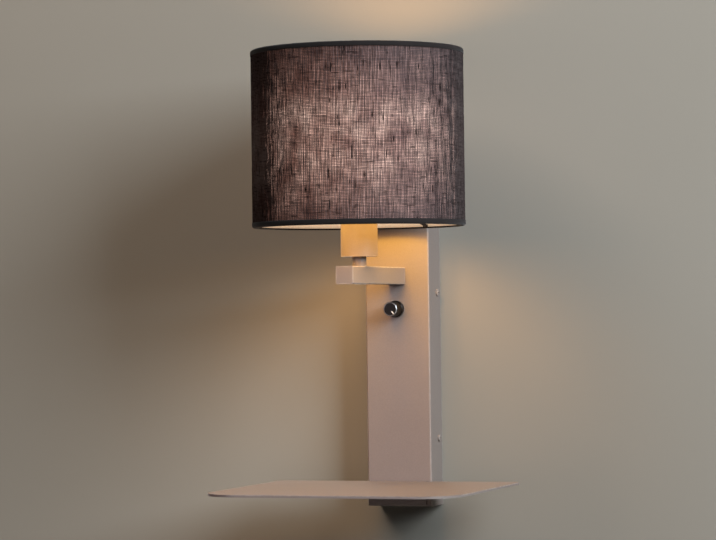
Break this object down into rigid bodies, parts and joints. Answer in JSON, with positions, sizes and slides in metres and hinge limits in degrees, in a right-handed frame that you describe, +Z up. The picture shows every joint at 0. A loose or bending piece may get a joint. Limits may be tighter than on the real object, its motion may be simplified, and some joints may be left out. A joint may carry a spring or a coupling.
{
  "type": "wall lamp",
  "caption": "Wall lamp: a slim folded steel column carries a square arm with a linen drum shade, a dimmer knob and a thin round-cornered shelf.",
  "frame": {"origin": "centre of the wall plate's back face, on the wall", "axes": "+Z up, +Y into the wall, the lamp stands out along -Y, +X to the right seen from the front"},
  "size_m": [0.222, 0.233, 0.3928],
  "materials": {
    "coat": "matte powder coat, pinkish taupe",
    "coated_screws": "matte powder coat, a little worn in the cross slot",
    "zinc_steel": "bright zinc plate",
    "cap_metal": "satin",
    "brass": "satin",
    "black_rubber": "matte",
    "white_plastic": "matte moulded",
    "dark_wire": "dark dip-coated wire",
    "lead_sleeve": "matte sleeve",
    "opal_glass": "opal, lit warm",
    "black_plastic": "matte moulded",
    "knob_black": "gloss",
    "knob_silver": "bright ring",
    "knob_white": "white inlay",
    "linen": "coarse slubbed linen",
    "lining": "matte pale backing",
    "trim": "close dark linen tape"
  },
  "bodies": {
    "fixture": {"column_cover": "coat", "cover_screws": "coated_screws", "wall_plate": "zinc_steel", "cable_bush": "black_rubber", "terminal_block": "white_plastic", "terminal_screws": "brass", "arm_tube": "coat", "arm_end_cap": "coat", "arm_root_block": "zinc_steel", "arm_backing_plate": "zinc_steel", "arm_screws": "zinc_steel", "stem": "coat", "nipple": "zinc_steel", "nipple_nuts": "zinc_steel", "lampholder_cup": "coat", "lampholder_body": "white_plastic", "lampholder_shell": "brass", "lampholder_contact": "brass", "bulb_globe": "opal_glass", "bulb_cap": "cap_metal", "bulb_contact": "black_plastic", "shade_lock_ring": "white_plastic", "shade_frame": "dark_wire", "shade_top_ring": "dark_wire", "shade_fabric": "linen", "shade_lining": "lining", "shade_top_trim": "trim", "shade_bottom_trim": "trim", "dimmer_body": "black_plastic", "dimmer_washer": "zinc_steel", "dimmer_nut": "zinc_steel", "shelf_plate": "coat", "shelf_screws": "coated_screws", "shelf_nut_plate": "zinc_steel", "lamp_lead": "lead_sleeve", "dimmer_leads": "lead_sleeve"},
    "dimmer_knob": {"knob": "knob_black", "knob_ring": "knob_silver", "knob_pointer": "knob_white", "dimmer_shaft": "zinc_steel"}
  },
  "joints": [
    {"name": "knob_turn", "type": "hinge", "parent": "fixture", "child": "dimmer_knob", "pos_m": [0, -0.0349, 0.05], "axis": [0, -1, 0], "range_deg": [-7, 293]}
  ]
}
